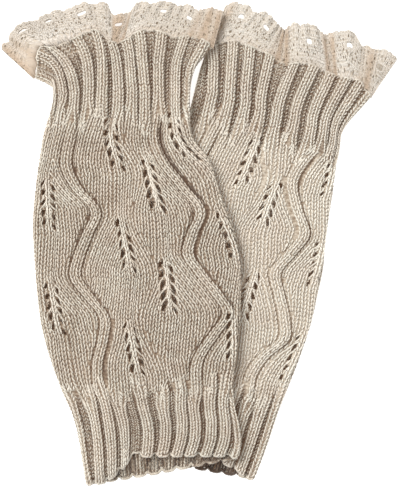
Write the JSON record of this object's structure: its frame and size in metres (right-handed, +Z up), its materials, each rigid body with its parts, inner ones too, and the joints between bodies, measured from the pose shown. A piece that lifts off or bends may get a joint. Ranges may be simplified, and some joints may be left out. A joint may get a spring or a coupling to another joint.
{
  "type": "pair of knitted boot cuffs",
  "caption": "Pair of boot cuffs laid flat, one over the other: ribbed knit tubes with a lace-leaf body and a ruffled cotton lace top.",
  "frame": {"origin": "centre of the laid pair's plan at the surface that it rests on", "axes": "+Z up from the surface, +Y from the hems towards the lace tops, +X to the right as the pair is seen from above"},
  "size_m": [0.2375, 0.2904, 0.0202],
  "materials": {
    "oatmeal_knit": "heathered oatmeal knit, matt",
    "cream_lace": "cream cotton lace, matt"
  },
  "bodies": {
    "root": {"left_knit_tube": "oatmeal_knit", "left_lace_front": "cream_lace", "left_lace_back": "cream_lace", "right_knit_tube": "oatmeal_knit", "right_lace_front": "cream_lace", "right_lace_back": "cream_lace"}
  },
  "joints": []
}
